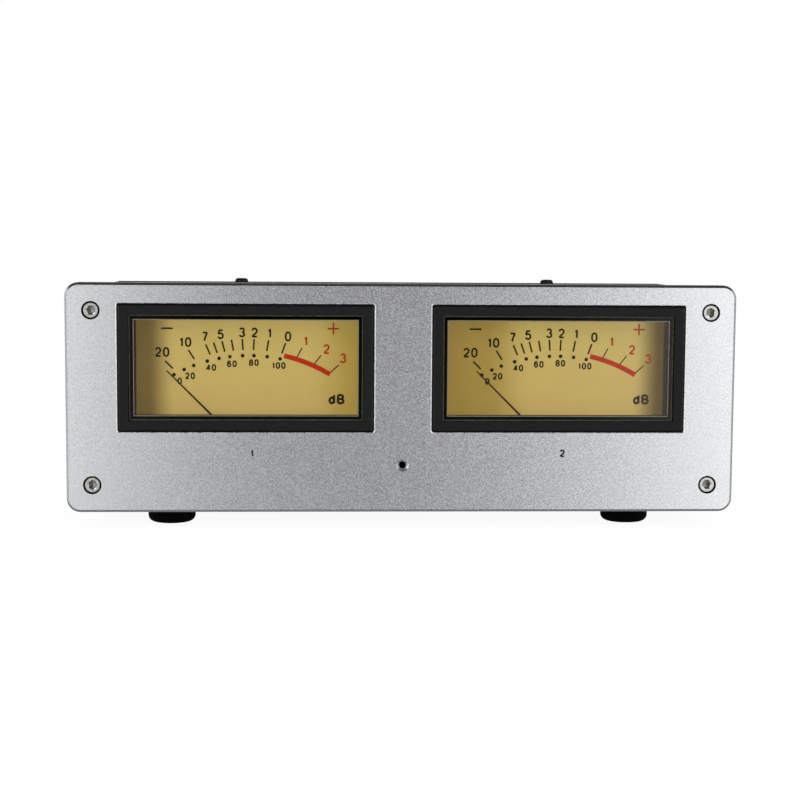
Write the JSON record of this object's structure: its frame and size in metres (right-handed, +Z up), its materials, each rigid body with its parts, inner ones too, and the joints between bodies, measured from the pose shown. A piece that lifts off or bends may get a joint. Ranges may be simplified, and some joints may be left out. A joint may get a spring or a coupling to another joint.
{
  "type": "analog level meter",
  "caption": "Desktop level meter box with an aluminium front panel, two backlit moving-coil meters, a microphone hole, black cover, rubber feet and rear sockets.",
  "frame": {"origin": "on the desk, under the middle of the object's overall width and depth", "axes": "+X to the right seen from the front, +Y away from the front panel towards the rear sockets, +Z up; the dials face -Y"},
  "size_m": [0.234, 0.1248, 0.0865],
  "materials": {
    "satin_aluminium": "bead-blasted, clear anodised",
    "bare_aluminium": "machined",
    "black_paint": "fine matt powder coat",
    "black_screw": "black oxide",
    "dark_steel": "bright rim, darker socket",
    "zinc_steel": "zinc plated",
    "black_rubber": "matt",
    "black_plastic": "fine texture",
    "black_knob": "satin",
    "clear_plastic": "polished, clear",
    "amber_dial": "translucent printed film, amber",
    "opal_plastic": "translucent",
    "green_board": "solder mask",
    "brass": "bright",
    "copper_winding": "enamelled wire",
    "soft_iron": "turned",
    "magnet": "ground",
    "black_aluminium": "black lacquer",
    "wire_cover": "satin insulation",
    "led_plastic": "warm white lamp",
    "capacitor_sleeve": "shrunk sleeve",
    "tinned_can": "bright can"
  },
  "bodies": {
    "case": {"front_panel": "satin_aluminium", "front_panel_screws": "dark_steel", "rear_panel": "black_paint", "rear_panel_screws": "black_screw", "side_rails": "bare_aluminium", "base_tray": "black_paint", "pan_screws": "zinc_steel", "top_cover": "black_paint", "cover_screws": "black_screw", "cover_pillars": "zinc_steel", "feet": "black_rubber", "foot_screws": "zinc_steel", "clamp_bar": "zinc_steel", "clamp_studs": "zinc_steel", "clamp_screws": "zinc_steel", "mic_capsule": "tinned_can", "mic_grommet": "black_rubber", "driver_board": "green_board", "board_standoffs": "brass", "capacitors": "capacitor_sleeve", "driver_chips": "black_plastic", "line_jacks": "brass", "power_jack": "black_plastic", "sensitivity_pot": "tinned_can", "input_switch": "tinned_can", "panel_nuts": "zinc_steel", "meter_case_screws": "zinc_steel", "terminals": "brass", "jewel_screws": "brass", "leds": "led_plastic", "front_bridges": "brass", "movement_screws": "zinc_steel", "wiring": "wire_cover", "bezel_left": "black_plastic", "bezel_right": "black_plastic", "lens_left": "clear_plastic", "lens_right": "clear_plastic", "dial_plate_left": "amber_dial", "dial_plate_right": "amber_dial", "light_diffuser_left": "opal_plastic", "light_diffuser_right": "opal_plastic", "lamp_board_left": "green_board", "lamp_board_right": "green_board", "meter_case_left": "black_plastic", "meter_case_right": "black_plastic", "yoke_left": "soft_iron", "yoke_right": "soft_iron", "core_magnet_left": "magnet", "core_magnet_right": "magnet", "movement_frame_left": "bare_aluminium", "movement_frame_right": "bare_aluminium", "hairsprings_left": "brass", "hairsprings_right": "brass"},
    "pointer_left": {"needle_left": "black_aluminium", "moving_coil_left": "copper_winding"},
    "pointer_right": {"needle_right": "black_aluminium", "moving_coil_right": "copper_winding"},
    "knob": {"pot_shaft": "bare_aluminium", "sensitivity_knob": "black_knob"},
    "lever": {"switch_lever": "zinc_steel"}
  },
  "joints": [
    {"name": "pointer_left_swing", "type": "hinge", "parent": "case", "child": "pointer_left", "pos_m": [-0.0529, -0.05375, 0.0255], "axis": [0, 1, 0], "range_deg": [0, 90], "stiffness_Nm_per_rad": 0.00005},
    {"name": "pointer_right_swing", "type": "hinge", "parent": "case", "child": "pointer_right", "pos_m": [0.0563, -0.05375, 0.0255], "axis": [0, 1, 0], "range_deg": [0, 90], "stiffness_Nm_per_rad": 0.00005},
    {"name": "sensitivity_turn", "type": "hinge", "parent": "case", "child": "knob", "pos_m": [0, 0.04795, 0.038], "axis": [0, 1, 0], "range_deg": [-150, 150]},
    {"name": "input_throw", "type": "hinge", "parent": "case", "child": "lever", "pos_m": [0.042, 0.04295, 0.038], "axis": [1, 0, 0], "range_deg": [-24, 0]}
  ]
}
